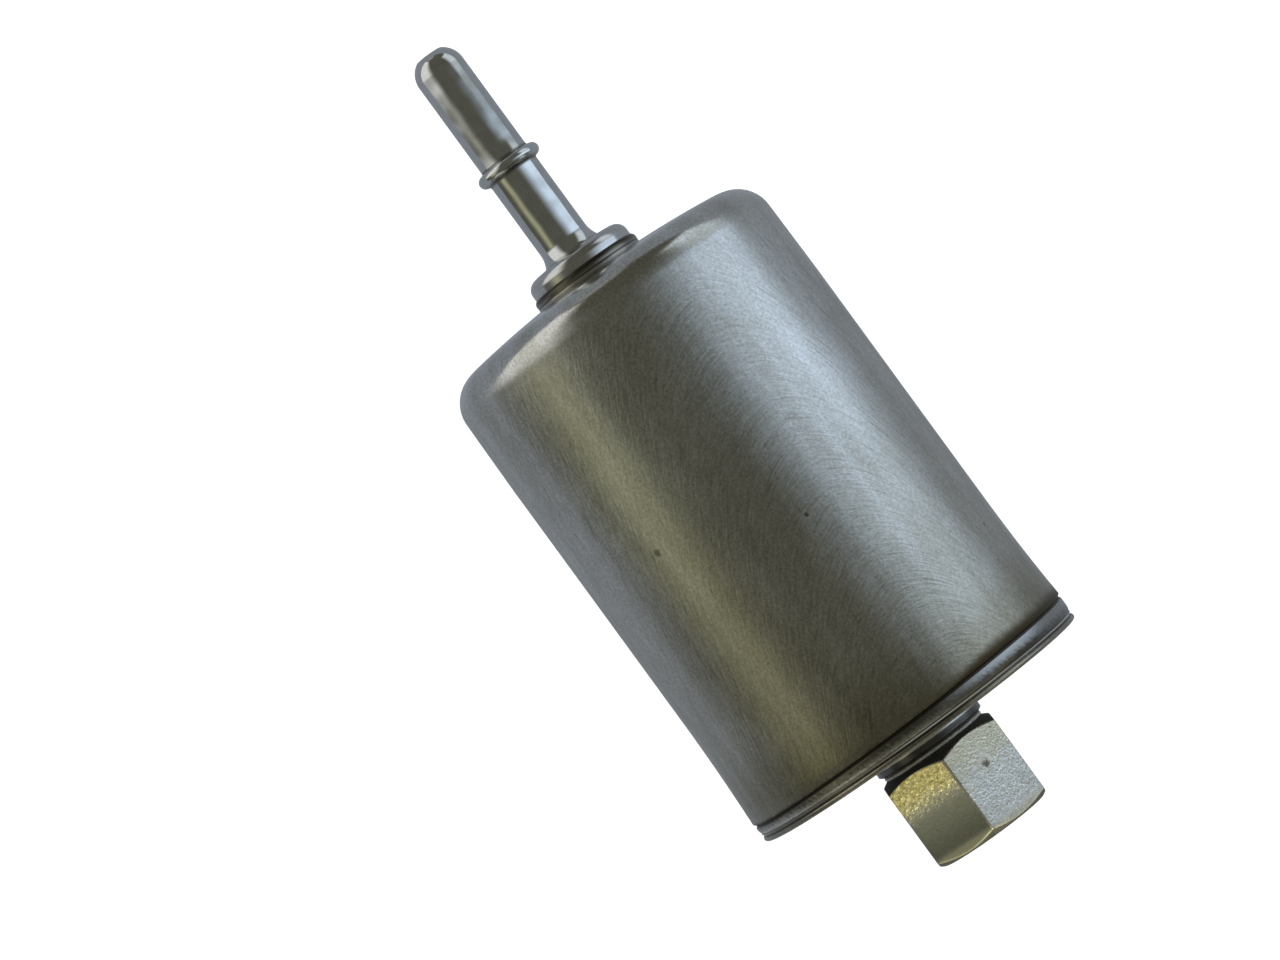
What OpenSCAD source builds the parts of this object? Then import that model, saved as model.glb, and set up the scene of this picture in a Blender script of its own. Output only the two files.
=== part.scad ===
// In-line metal fuel filter: a drawn steel can with a quick-connect outlet spigot at one end and a
// hexagonal inlet nut with a female thread at the other, and a spring-seated pleated element inside.
// The long axis lies along X, with the outlet towards +X. The origin is on the axis, at mid-can.

/* [Can] */
// Outside diameter of the straight part of the can
can_d = 55; // [50:0.5:60]
// Length from the rolled rim's underside to the top of the shoulder
can_len = 80; // [76:1:100]
// Thickness of the can's sheet steel
sheet = 0.7; // [0.5:0.1:0.9]
// Outside radius of the shoulder
shoulder_r = 5.5; // [4:0.1:6]
// Slope at which the crowned top meets the shoulder, in degrees
crown_angle = 8.2; // [5:0.1:9]
// How much the can narrows in radius towards the shoulder
taper = 0.15; // [0.05:0.05:0.3]
// How much wider in radius the can is just above the seam
flare = 0.5; // [0.3:0.05:0.5]
// Length of the flared stretch
flare_len = 17; // [10:1:20]

/* [Seam] */
// Radius of the rolled seam band
band_r = 27.9; // [27.8:0.05:28.2]
// Height of the rolled seam band
band_h = 2.95; // [2.8:0.05:3.2]
// Inner radius of the curled lip that holds the cover
lip_r = 24.9; // [24.6:0.1:25.2]
// Thickness of the end cover's sheet steel
cover_sheet = 0.8; // [0.6:0.1:0.9]
// How far the cover's middle bulges past the lip
cover_bulge = 1.4; // [1.2:0.1:1.5]

/* [Outlet] */
// Outside diameter of the spigot between its nose and its bead
spigot_d = 7.89; // [7.8:0.01:8]
// Outside diameter of the spigot behind its bead
stem_d = 8.06; // [8:0.01:8.2]
// Bore through the spigot
spigot_bore_d = 5.9; // [5.5:0.1:6.1]
// Opening left in the rolled nose
nose_hole_d = 4.2; // [3.6:0.1:4.6]
// Outside diameter of the bead that the quick connector latches behind
bead_d = 10.5; // [10:0.1:11]
// Width of the bead along the axis
bead_w = 1.9; // [1.6:0.1:2]
// Distance from the spigot's nose to the middle of the bead
nose_to_bead = 20; // [19:0.1:21]
// Distance from the collar's top to the spigot's nose
spigot_len = 35.9; // [34:0.1:38]
// Radius that rounds the spigot's nose
nose_r = 3.6; // [3:0.1:3.7]
// Outside diameter of the collar under the spigot
collar_d = 17; // [16:0.1:18]
// Height of that collar
collar_h = 2.4; // [2:0.1:3]
// Outside diameter of the base ring between the collar and the can
base_d = 17.9; // [17:0.1:19]
// Height of the base ring above the crown's middle
base_h = 1.6; // [1.4:0.1:2.4]

/* [Inlet] */
// Width of the inlet nut across its flats
hex_af = 19; // [18:0.5:22]
// Length of the hexagon
hex_len = 15; // [14.5:0.5:18]
// Minor diameter of the M14 x 1.5 female thread
thread_minor_d = 12.38; // [12.3:0.01:12.5]
// Major diameter of that thread
thread_major_d = 14; // [14:0.1:14.2]
// Length of full thread
thread_len = 11; // [9:0.5:11]
// Bore from the thread into the can
inlet_bore_d = 8; // [6:0.5:9]
// Diameter of the round boss between the cover and the nut
boss_d = 18.3; // [18:0.1:19]
// Height of the boss at its rim, with its chamfer
boss_h = 1.85; // [1.7:0.05:2.2]

/* [Element] */
// Number of pleats
pleats = 48; // [36:1:52]
// Thickness of the filter paper
paper = 0.4; // [0.3:0.05:0.45]
// Radius of the pleats' outer folds
pleat_outer_r = 23.2; // [22:0.1:23.2]
// Radius of the pleats' inner folds
pleat_inner_r = 11; // [10.8:0.1:12]
// Outside diameter of the perforated centre tube
core_d = 19.6; // [19:0.1:19.8]
// Sheet thickness of the element's metal parts
cap_sheet = 0.5; // [0.4:0.1:0.6]
// Rows of holes along the centre tube
core_rows = 7; // [4:1:8]
// Holes round the centre tube in each row
core_holes = 8; // [6:1:8]

/* [Spring] */
// Wire diameter of the element's spring
wire_d = 1.5; // [1.2:0.1:1.6]
// Mean radius of the spring's coils
coil_r = 9.5; // [9:0.1:10]
// Turns of the spring
coil_turns = 4; // [3.5:0.5:4]
// Height of the spring as fitted
spring_h = 9.9; // [9.5:0.1:10]

/* [Hidden] */
$fn = 96;

// Smallest gap left between faces that meet without being one piece
gap = 0.02;
can_r = can_d / 2;
rim_x = -can_len / 2;
shoulder_x = can_len / 2;
arc_steps = 14;

// The crowned top: a shallow paraboloid that leaves the shoulder's arc on a common tangent.
shoulder_centre_r = can_r - taper - shoulder_r;
shoulder_centre_x = shoulder_x - shoulder_r;
crown_r = shoulder_centre_r + shoulder_r * sin(crown_angle);
crown_edge_x = shoulder_centre_x + shoulder_r * cos(crown_angle);
crown_curve = tan(crown_angle) / (2 * crown_r);
function crown_x(r) = crown_edge_x + crown_curve * (crown_r * crown_r - r * r);

taper_len = 12;

// The seam, from the rim's underside upwards. The lip slopes outwards by lip_drop.
lip_drop = 0.4;
function lip_x(r) = rim_x - lip_drop * (band_r - r) / (band_r - lip_r);
band_top_x = rim_x + band_h;
groove_depth = 0.35;
groove_half = 0.4;
flare_top_x = band_top_x + groove_half + flare_len;
hook_line_depth = 0.3;
lip_edge_r = 0.4;
cover_r = band_r - sheet - 0.05;
cover_step_r = lip_r - 0.35;
cover_step_x = lip_x(lip_r) + 0.1;
cover_hole_r = 6.05;
function cover_x(r) = cover_step_x - cover_bulge * (1 - pow(r / cover_step_r, 2));

// The outlet, from the crown outwards.
can_hole_r = 6.05;
base_top_x = crown_x(0) + base_h;
collar_x = base_top_x + 0.15;
collar_top_x = collar_x + collar_h;
nose_x = collar_top_x + spigot_len;
bead_x = nose_x - nose_to_bead;
tube_end_x = 33.6;
foot_r = 4.2;
foot_h = 2.5;

// The inlet, from the cover outwards.
boss_face_x = cover_x(boss_d / 2) - boss_h;
boss_chamfer_w = 0.9;
boss_chamfer_h = 0.6;
braze_h = 0.25;
hex_top_x = boss_face_x - braze_h;
hex_end_x = hex_top_x - hex_len;
hex_end_r = hex_af / 2 - 0.5;
hex_top_r = hex_af / 2 - 1.3;
hex_corner_r = hex_af / 2 / cos(30);
chamfer_slope = tan(30);
mouth_depth = 1;
stem_r = cover_hole_r - gap;
stem_end_x = -38.9;

// The element, which slides as one body along the outlet tube.
seat_x = -40.5;
seat_sheet = 0.6;
spring_x = seat_x + seat_sheet + 0.05;
bottom_cap_x = spring_x + spring_h + 0.05;
potting_h = 2;
cap_r = 24.3;
cap_wall_h = 4.2;
lug_r = 26.3;
core_r = core_d / 2;
core_sheet = 0.6;
core_hole_r = 1.6;
media_x = bottom_cap_x + cap_sheet + potting_h;
seal_top_x = crown_x(7) - sheet - 0.6;
seal_h = 4.5;
neck_r = 7.5;
top_cap_x = seal_top_x - seal_h - cap_sheet;
media_len = top_cap_x - potting_h - media_x;
seal_bore_r = stem_d / 2 + 0.04;

// Points along an arc about (r0, x0), from angle a to angle b, in a profile of radius against X.
function arc(r0, x0, radius, a, b, steps = arc_steps) =
    [for (i = [0:steps]) let (t = a + (b - a) * i / steps) [r0 + radius * cos(t), x0 + radius * sin(t)]];

// A profile of radius against X, turned about the filter's long axis.
module turned(points) {
    rotate([0, 90, 0]) rotate_extrude() polygon(points);
}

// A straight prism of a flat outline, along the filter's long axis.
module along_axis(x, length) {
    translate([x, 0, 0]) rotate([0, 90, 0]) linear_extrude(length) children();
}

// A ring of rectangular section.
module ring(inner_r, outer_r, x, length) {
    turned([[inner_r, x], [outer_r, x], [outer_r, x + length], [inner_r, x + length]]);
}

// ---- Housing ----

// The can: crowned top, shoulder, straight wall, flare, groove, seam band and curled lip in one drawing.
module shell() {
    crown_steps = 6;
    crown_radii = [for (i = [0:crown_steps]) can_hole_r + (crown_r - can_hole_r) * i / crown_steps];
    flare_steps = 6;
    flare_points = [for (i = [0:flare_steps]) let (t = i / flare_steps)
        [can_r + flare * t * t, flare_top_x - flare_len * t]];
    straight_top = [can_r, shoulder_centre_x - taper_len];
    neck_r = can_r + flare - groove_depth;
    outside = concat(
        [for (r = crown_radii) [r, crown_x(r)]],
        arc(shoulder_centre_r, shoulder_centre_x, shoulder_r, 90 - crown_angle, 0),
        [straight_top],
        flare_points,
        [[neck_r, band_top_x], [band_r, band_top_x - groove_half]],
        [[band_r, rim_x + 0.75], [band_r - hook_line_depth, rim_x + 0.5], [band_r - 0.05, rim_x + lip_edge_r]],
        arc(band_r - lip_edge_r, rim_x + lip_edge_r, lip_edge_r, -15, -90, 6),
        [[lip_r, lip_x(lip_r)]]);
    inside = concat(
        [[lip_r, lip_x(lip_r) + sheet]],
        [[band_r - sheet, lip_x(band_r - sheet) + sheet]],
        [[band_r - sheet, band_top_x - 2 * groove_half]],
        [[neck_r - sheet, band_top_x - 0.15]],
        [for (i = [flare_steps:-1:0]) flare_points[i] - [sheet, 0]],
        [straight_top - [sheet, 0]],
        arc(shoulder_centre_r, shoulder_centre_x, shoulder_r - sheet, 0, 90 - crown_angle),
        [for (i = [crown_steps:-1:0]) [crown_radii[i], crown_x(crown_radii[i]) - sheet]]);
    color("silver") turned(concat(outside, inside));
}

// The end cover: a flange clamped in the seam, a small step and a bulged middle with the fitting's hole.
module end_cover() {
    steps = 6;
    bulge_radii = [for (i = [0:steps]) cover_step_r + (cover_hole_r - cover_step_r) * i / steps];
    flange_r = cover_step_r + 0.25;
    flange_lift = sheet + gap;
    below = [for (r = bulge_radii) [r, cover_x(r)]];
    above = [for (i = [steps:-1:0]) [bulge_radii[i], cover_x(bulge_radii[i]) + cover_sheet]];
    flange = [[flange_r + 0.1, lip_x(flange_r) + flange_lift + cover_sheet],
        [cover_r, lip_x(cover_r) + flange_lift + cover_sheet],
        [cover_r, lip_x(cover_r) + flange_lift],
        [flange_r, lip_x(flange_r) + flange_lift]];
    color("gainsboro") turned(concat(below, above, flange));
}

// The sealing ring squeezed between the cover's flange and the groove.
module seam_seal() {
    inner_r = 25.6;
    lift = sheet + cover_sheet + 2 * gap;
    top_x = band_top_x - 2 * groove_half - gap;
    color("dimgray") turned([[inner_r, lip_x(inner_r) + lift], [cover_r, lip_x(cover_r) + lift],
        [cover_r, top_x], [inner_r, top_x]]);
}

// ---- Outlet ----

// The spigot: rounded nose, sealing length, bead, stem, flared foot on the collar, and a tail in the can.
module outlet_tube() {
    r = spigot_d / 2;
    s = stem_d / 2;
    bore = spigot_bore_d / 2;
    hole = nose_hole_d / 2;
    roll_r = r - nose_r;
    nose_end = acos((hole - roll_r) / nose_r);
    nose_centre_x = nose_x - nose_r * sin(nose_end);
    bore_end = acos((hole - roll_r) / (bore - roll_r));
    lobe = bead_w / 2;
    foot_end = 180 + asin((foot_h - gap) / foot_r);
    outside = concat(
        arc(roll_r, nose_centre_x, nose_r, nose_end, 0, 12),
        [[r, bead_x + lobe + 0.15], [r + 0.2, bead_x + lobe]],
        arc(bead_d / 2 - lobe, bead_x, lobe, 85, -85, 12),
        [[s + 0.2, bead_x - lobe], [s, bead_x - lobe - 0.15]],
        arc(s + foot_r, collar_top_x + foot_h, foot_r, 180, foot_end, 8),
        [[s, collar_top_x + gap]],
        [[s, tube_end_x]]);
    inside = concat(
        [[bore, tube_end_x]],
        arc(roll_r, nose_centre_x, bore - roll_r, 0, bore_end, 8));
    color("lightgray") turned(concat(outside, inside));
}

// The collar: a turned ring round the tube, with a rounded top edge and a pilot through the can's hole.
module outlet_collar() {
    edge_r = 1.8;
    bore_r = stem_d / 2 + gap;
    pilot_r = can_hole_r - gap;
    pilot_end_x = crown_x(can_hole_r) - sheet - 0.3;
    color("darkgray") turned(concat(
        [[bore_r, pilot_end_x], [pilot_r, pilot_end_x], [pilot_r, collar_x]],
        [[collar_d / 2 - 0.25, collar_x], [collar_d / 2, collar_x + 0.25]],
        arc(collar_d / 2 - edge_r, collar_top_x - edge_r, edge_r, 0, 90, 8),
        [[bore_r, collar_top_x]]));
}

// The base ring: it follows the crown underneath and carries the collar.
module outlet_base() {
    r = base_d / 2;
    edge_r = 0.6;
    color("gray") turned(concat(
        [[can_hole_r, crown_x(can_hole_r) + gap], [r, crown_x(r) + gap]],
        arc(r - edge_r, base_top_x - edge_r, edge_r, 0, 90, 6),
        [[can_hole_r, base_top_x]]));
}

// The braze line between the collar and the base ring.
module outlet_braze() {
    color("darkkhaki") ring(can_hole_r + 0.1, collar_d / 2 - 0.35, base_top_x + 0.01, 0.13);
}

// ---- Inlet ----

// The round boss between the cover and the nut, chamfered towards the nut.
module inlet_boss() {
    r = boss_d / 2;
    color("dimgray") turned([
        [cover_hole_r, cover_x(cover_hole_r) - gap],
        [cover_hole_r, boss_face_x],
        [r - boss_chamfer_w, boss_face_x],
        [r, boss_face_x + boss_chamfer_h],
        [r, cover_x(r) - gap]]);
}

// The inlet nut: a chamfered hexagon with a female thread, shown at its minor diameter, and a hollow stem.
module inlet_fitting() {
    stem_bore_r = inlet_bore_d / 2;
    thread_r = thread_minor_d / 2;
    mouth_r = thread_major_d / 2 + 0.3;
    thread_top_x = hex_end_x + mouth_depth + thread_len;
    end_drop = (hex_corner_r - hex_end_r) * chamfer_slope;
    top_drop = (hex_corner_r - hex_top_r) * chamfer_slope;
    color("silver") union() {
        difference() {
            intersection() {
                along_axis(hex_end_x, hex_len) circle(r = hex_corner_r, $fn = 6);
                turned([[0, hex_end_x], [hex_end_r, hex_end_x],
                    [hex_corner_r, hex_end_x + end_drop],
                    [hex_corner_r, hex_top_x - top_drop],
                    [hex_top_r, hex_top_x], [0, hex_top_x]]);
            }
            turned([[0, hex_end_x - 1], [mouth_r, hex_end_x - 1],
                [mouth_r, hex_end_x],
                [thread_r, hex_end_x + mouth_depth],
                [thread_r, thread_top_x],
                [stem_bore_r, thread_top_x + 1.5],
                [stem_bore_r, hex_top_x + 1], [0, hex_top_x + 1]]);
        }
        ring(stem_bore_r, stem_r, hex_top_x - 0.5, stem_end_x - hex_top_x + 0.5);
    }
}

// The bright braze line that squeezes out between the boss and the nut.
module inlet_braze() {
    bead_r = braze_h / 2 - gap;
    color("lightyellow") turned(concat(
        [[cover_hole_r, boss_face_x - gap]],
        arc(hex_top_r, boss_face_x - braze_h / 2, bead_r, 90, -90, 6),
        [[cover_hole_r, boss_face_x - gap - 2 * bead_r]]));
}

// ---- Element ----

// The pressed ring that the spring stands on.
module spring_seat() {
    color("lightgray") turned([
        [stem_r + 0.25, seat_x], [12.2, seat_x], [12.2, seat_x + 1.6],
        [11.6, seat_x + 1.6], [11.6, seat_x + seat_sheet], [stem_r + 0.25, seat_x + seat_sheet]]);
}

// Height along the spring, as a share, after a share t of its turns: close coils at both ends.
function coil_rise(t) =
    let (end = 0.22, slow = 0.7, middle = (1 - 2 * end * slow) / (1 - 2 * end))
    t < end ? slow * t
    : t > 1 - end ? 1 - slow * (1 - t)
    : end * slow + middle * (t - end);

// The spring: one round wire swept along a helix.
module element_spring() {
    sides = 10;
    rings_per_turn = 24;
    rings = coil_turns * rings_per_turn;
    wire_r = wire_d / 2;
    points = [for (i = [0:rings], j = [0:sides - 1])
        let (t = i / rings, a = 360 * coil_turns * t, b = 360 * j / sides,
            r = coil_r + wire_r * cos(b),
            x = spring_x + wire_r + (spring_h - wire_d) * coil_rise(t) + wire_r * sin(b))
        [x, r * cos(a), r * sin(a)]];
    skin = [for (i = [0:rings - 1], j = [0:sides - 1])
        let (k = (j + 1) % sides)
        [i * sides + j, i * sides + k, (i + 1) * sides + k, (i + 1) * sides + j]];
    start_cap = [[for (j = [sides - 1:-1:0]) j]];
    end_cap = [[for (j = [0:sides - 1]) rings * sides + j]];
    color("steelblue") polyhedron(points, concat(skin, start_cap, end_cap));
}

// The closed end cap: a pressed cup with a pilot for the spring and four centring lugs.
module bottom_end_cap() {
    pilot_r = coil_r - wire_d / 2 - 0.4;
    color("gainsboro") union() {
        turned([
            [0, bottom_cap_x - 1.5], [pilot_r - 0.6, bottom_cap_x - 1.5], [pilot_r, bottom_cap_x],
            [cap_r, bottom_cap_x], [cap_r, bottom_cap_x + cap_wall_h],
            [cap_r - cap_sheet, bottom_cap_x + cap_wall_h], [cap_r - cap_sheet, bottom_cap_x + cap_sheet],
            [pilot_r - cap_sheet, bottom_cap_x + cap_sheet],
            [pilot_r - cap_sheet - 0.6, bottom_cap_x + cap_sheet - 1.5], [0, bottom_cap_x + cap_sheet - 1.5]]);
        for (a = [45:90:315]) rotate([a, 0, 0]) centring_lug();
    }
}

// A lug that keeps the element in the middle of the can.
module centring_lug() {
    lug_w = 4;
    reach = lug_r - cap_r + 0.4;
    translate([bottom_cap_x, -lug_w / 2, cap_r - 0.4]) cube([cap_sheet, lug_w, reach]);
}

// The adhesive that the pleats stand in at either end.
module potting(x) {
    color("saddlebrown") ring(core_r + 0.1, cap_r - cap_sheet - gap, x + gap, potting_h - 2 * gap);
}
module bottom_potting() { potting(bottom_cap_x + cap_sheet); }
module top_potting() { potting(top_cap_x - potting_h); }

// A point of a pleat's outline: out along the fold by r, across it by y, with the fold at angle a.
function pleat_point(r, y, a) = [r * cos(a) - y * sin(a), r * sin(a) + y * cos(a)];

// One side of the folded paper, stepped off from its middle line by half the paper's thickness.
function pleat_side(half) =
    let (outer_w = 0.5, inner_w = 0.34, pitch = 360 / pleats)
    [for (i = [0:pleats - 1], c = [
        [pleat_outer_r + half, -outer_w - half, 0],
        [pleat_outer_r + half, outer_w + half, 0],
        [pleat_inner_r + half, -inner_w + half, 0.5],
        [pleat_inner_r + half, inner_w - half, 0.5]])
        pleat_point(c[0], c[1], (i + c[2]) * pitch)];

// The filter paper: one strip folded into a ring of pleats.
module filter_media() {
    points = concat(pleat_side(paper / 2), pleat_side(-paper / 2));
    count = 4 * pleats;
    color("wheat") along_axis(media_x, media_len)
        polygon(points, [[for (i = [0:count - 1]) i], [for (i = [0:count - 1]) count + i]]);
}

// The crimped strip that joins the paper's two ends, over one outer fold.
module media_clip() {
    inside_w = 0.85;
    clip_sheet = 0.25;
    inside_r = pleat_outer_r + paper / 2 + 0.03;
    leg = 3;
    clip_r = inside_r + clip_sheet;
    clip_w = inside_w + clip_sheet;
    color("silver") along_axis(media_x + gap, media_len - 2 * gap)
        polygon([[inside_r - leg, inside_w], [inside_r, inside_w], [inside_r, -inside_w],
            [inside_r - leg, -inside_w], [inside_r - leg, -clip_w], [clip_r, -clip_w],
            [clip_r, clip_w], [inside_r - leg, clip_w]]);
}

// The perforated tube that holds the pleats open and carries clean fuel to the outlet.
module center_tube() {
    x = bottom_cap_x + cap_sheet + gap;
    length = top_cap_x - gap - x;
    pitch = media_len / core_rows;
    color("lightsteelblue") difference() {
        ring(core_r - core_sheet, core_r, x, length);
        for (row = [0:core_rows - 1], i = [0:core_holes - 1])
            rotate([(i + 0.25 + (row % 2) / 2) * 360 / core_holes, 0, 0])
                translate([media_x + pitch * (row + 0.5), 0, core_r - 2 * core_sheet])
                    cylinder(h = 3 * core_sheet, r = core_hole_r);
    }
}

// The open end cap: a pressed cup with a neck for the seal.
module top_end_cap() {
    plate_x = top_cap_x + cap_sheet;
    color("gainsboro") turned([
        [stem_d / 2 + 1.6, top_cap_x], [cap_r - cap_sheet, top_cap_x],
        [cap_r - cap_sheet, plate_x - cap_wall_h], [cap_r, plate_x - cap_wall_h],
        [cap_r, plate_x], [neck_r + cap_sheet, plate_x],
        [neck_r + cap_sheet, seal_top_x - 0.4], [neck_r, seal_top_x - 0.4],
        [neck_r, plate_x], [stem_d / 2 + 1.6, plate_x]]);
}

// The rubber seal that the element grips the outlet tube with, lipped at the top.
module outlet_seal() {
    seal_lip_r = neck_r + 1.2;
    body_x = top_cap_x + cap_sheet + gap;
    color("dimgray") turned([
        [seal_bore_r, body_x], [neck_r - gap, body_x], [neck_r - gap, seal_top_x - 0.38],
        [seal_lip_r, seal_top_x - 0.38], [seal_lip_r, seal_top_x], [seal_bore_r, seal_top_x]]);
}

shell();
end_cover();
seam_seal();
outlet_tube();
outlet_collar();
outlet_base();
outlet_braze();
inlet_boss();
inlet_fitting();
inlet_braze();
spring_seat();
element_spring();
bottom_end_cap();
bottom_potting();
filter_media();
media_clip();
center_tube();
top_potting();
top_end_cap();
outlet_seal();
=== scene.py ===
import math

import bpy
import numpy as np
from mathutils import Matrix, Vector


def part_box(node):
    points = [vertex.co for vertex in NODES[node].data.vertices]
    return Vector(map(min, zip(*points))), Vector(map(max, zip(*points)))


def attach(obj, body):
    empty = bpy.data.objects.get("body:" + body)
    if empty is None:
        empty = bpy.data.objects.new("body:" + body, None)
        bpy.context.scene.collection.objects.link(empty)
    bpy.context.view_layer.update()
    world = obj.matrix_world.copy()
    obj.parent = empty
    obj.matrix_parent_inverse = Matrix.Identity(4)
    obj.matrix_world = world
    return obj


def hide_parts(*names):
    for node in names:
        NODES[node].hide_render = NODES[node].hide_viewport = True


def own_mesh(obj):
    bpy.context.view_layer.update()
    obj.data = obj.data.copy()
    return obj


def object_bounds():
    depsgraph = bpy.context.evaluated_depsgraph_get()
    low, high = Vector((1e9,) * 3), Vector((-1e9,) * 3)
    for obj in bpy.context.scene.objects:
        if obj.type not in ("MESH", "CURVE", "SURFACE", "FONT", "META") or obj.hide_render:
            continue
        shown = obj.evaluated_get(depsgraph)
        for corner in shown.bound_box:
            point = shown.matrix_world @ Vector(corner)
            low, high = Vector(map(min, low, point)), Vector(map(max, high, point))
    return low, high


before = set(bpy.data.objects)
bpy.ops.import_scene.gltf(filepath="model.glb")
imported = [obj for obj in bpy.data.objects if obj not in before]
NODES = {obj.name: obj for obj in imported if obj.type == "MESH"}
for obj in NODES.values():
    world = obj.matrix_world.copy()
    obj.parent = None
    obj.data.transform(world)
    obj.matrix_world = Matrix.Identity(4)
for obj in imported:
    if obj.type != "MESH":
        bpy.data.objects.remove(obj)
cad_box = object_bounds()
MM = 0.001


# ---------------------------------------------------------------- shader graphs

class Graph:
    """A material's node tree, with one short call for each node."""

    def __init__(self, name):
        self.material = bpy.data.materials.new(name)
        self.material.use_nodes = True
        self.tree = self.material.node_tree
        self.tree.nodes.clear()

    def node(self, kind, inputs=(), **settings):
        n = self.tree.nodes.new(kind)
        for key, value in settings.items():
            setattr(n, key, value)
        for key, value in dict(inputs).items():
            self.put(n.inputs[key], value)
        return n

    def put(self, socket, value):
        if isinstance(value, bpy.types.NodeSocket):
            self.tree.links.new(value, socket)
        elif socket.type == "RGBA":
            socket.default_value = (*value[:3], 1.0)
        else:
            socket.default_value = value

    def math(self, operation, *values, clamp=False):
        n = self.node("ShaderNodeMath", operation=operation, use_clamp=clamp)
        for socket, value in zip(n.inputs, values):
            self.put(socket, value)
        return n.outputs[0]

    def add(self, a, b):
        return self.math("ADD", a, b)

    def sub(self, a, b):
        return self.math("SUBTRACT", a, b)

    def mul(self, a, b):
        return self.math("MULTIPLY", a, b)

    def span(self, value, low, high, out_low=0.0, out_high=1.0, smooth=True):
        n = self.node("ShaderNodeMapRange", interpolation_type="SMOOTHSTEP" if smooth else "LINEAR")
        for key, v in (("Value", value), ("From Min", low), ("From Max", high),
                       ("To Min", out_low), ("To Max", out_high)):
            self.put(n.inputs[key], v)
        return n.outputs["Result"]

    def bump_at(self, value, centre, half):
        """1 where value is at centre, falling smoothly to 0 at half away."""
        return self.span(self.math("ABSOLUTE", self.sub(value, centre)), 0.0, half, 1.0, 0.0)

    def mix(self, factor, a, b, blend="MIX"):
        n = self.node("ShaderNodeMix", data_type="RGBA", blend_type=blend, clamp_factor=True)
        self.put(n.inputs[0], factor)
        self.put(n.inputs[6], a)
        self.put(n.inputs[7], b)
        return n.outputs[2]

    def blend(self, factor, a, b):
        """Mixes two numbers."""
        n = self.node("ShaderNodeMix", data_type="FLOAT", clamp_factor=True)
        self.put(n.inputs[0], factor)
        self.put(n.inputs[2], a)
        self.put(n.inputs[3], b)
        return n.outputs[0]

    def vector(self, x, y, z):
        return self.node("ShaderNodeCombineXYZ", {"X": x, "Y": y, "Z": z}).outputs[0]

    def noise(self, vector, scale=1.0, detail=2.0, rough=0.5, lacunarity=2.0):
        n = self.node("ShaderNodeTexNoise", {"Vector": vector, "Scale": scale, "Detail": detail,
                                             "Roughness": rough, "Lacunarity": lacunarity})
        return n.outputs["Fac"]

    def cells(self, vector, scale=1.0, output="Distance", feature="F1", randomness=1.0):
        n = self.node("ShaderNodeTexVoronoi", {"Vector": vector, "Scale": scale, "Randomness": randomness},
                      feature=feature)
        return n.outputs[output]

    def bump(self, height, distance, normal=None, strength=1.0):
        n = self.node("ShaderNodeBump", {"Height": height, "Distance": distance, "Strength": strength})
        if normal is not None:
            self.put(n.inputs["Normal"], normal)
        return n.outputs["Normal"]

    def place(self):
        """A point's (x, angle, radius) about the long axis, in mm and radians, and its position in mm.
        The angle is 0 at the top and grows towards -Y."""
        position = self.node("ShaderNodeTexCoord").outputs["Object"]
        scaled = self.node("ShaderNodeVectorMath", {0: position, 3: 1000.0}, operation="SCALE").outputs[0]
        parts = self.node("ShaderNodeSeparateXYZ", {0: scaled})
        x, y, z = parts.outputs
        angle = self.math("ARCTAN2", self.mul(y, -1.0), z)
        radius = self.math("SQRT", self.add(self.mul(y, y), self.mul(z, z)))
        return x, angle, radius, scaled

    def surface(self, **inputs):
        named = {key.replace("_", " "): v for key, v in inputs.items()}
        shader = self.node("ShaderNodeBsdfPrincipled", named)
        self.node("ShaderNodeOutputMaterial", {"Surface": shader.outputs[0]})
        return self.material


def paint(obj, material):
    obj.data.materials.clear()
    obj.data.materials.append(material)
    return obj


# ---------------------------------------------------------------- materials

CAN_R = 27.5        # radius of the can's straight wall, in mm
SEAM_TILT = 0.6     # mm that the groove above the seam runs out of square, at the can's sides

def arc_scratches(g, x, angle, surface_r=CAN_R):
    """Scratches left by sanding in nested arched strokes, as (fine lines, single stronger strokes).
    Strokes get steeper away from the top of their arch, so each part of it has noise of its own."""
    fine = strong = None
    for top, left, right, share, layer in ((9.5, 0.055, 0.085, 0.66, 0.0), (6.0, 0.040, 0.060, 0.34, 31.0)):
        across = g.sub(g.mul(angle, surface_r), top)
        squared = g.mul(across, across)
        arch = g.add(x, g.mul(squared, g.blend(g.math("GREATER_THAN", across, 0.0), left, right)))
        away = g.math("ABSOLUTE", across)
        for along, over, weight in ((2.7, 0.16, g.span(away, 6.0, 11.0, 1.0, 0.0)),
                                    (1.5, 0.34, g.mul(g.span(away, 6.0, 11.0),
                                                      g.span(away, 16.0, 24.0, 1.0, 0.0))),
                                    (0.75, 0.8, g.span(away, 16.0, 24.0))):
            lines = g.noise(g.vector(g.mul(arch, along), g.mul(across, over), layer), 1.0, 3.0, 0.8)
            single = g.noise(g.vector(g.mul(arch, along * 0.8), g.mul(across, over * 0.5), layer + 9.0),
                             1.0, 1.0, 0.5)
            lines, single = g.mul(lines, g.mul(weight, share)), g.mul(single, g.mul(weight, share))
            fine = lines if fine is None else g.add(fine, lines)
            strong = single if strong is None else g.add(strong, single)
    return fine, strong


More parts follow.
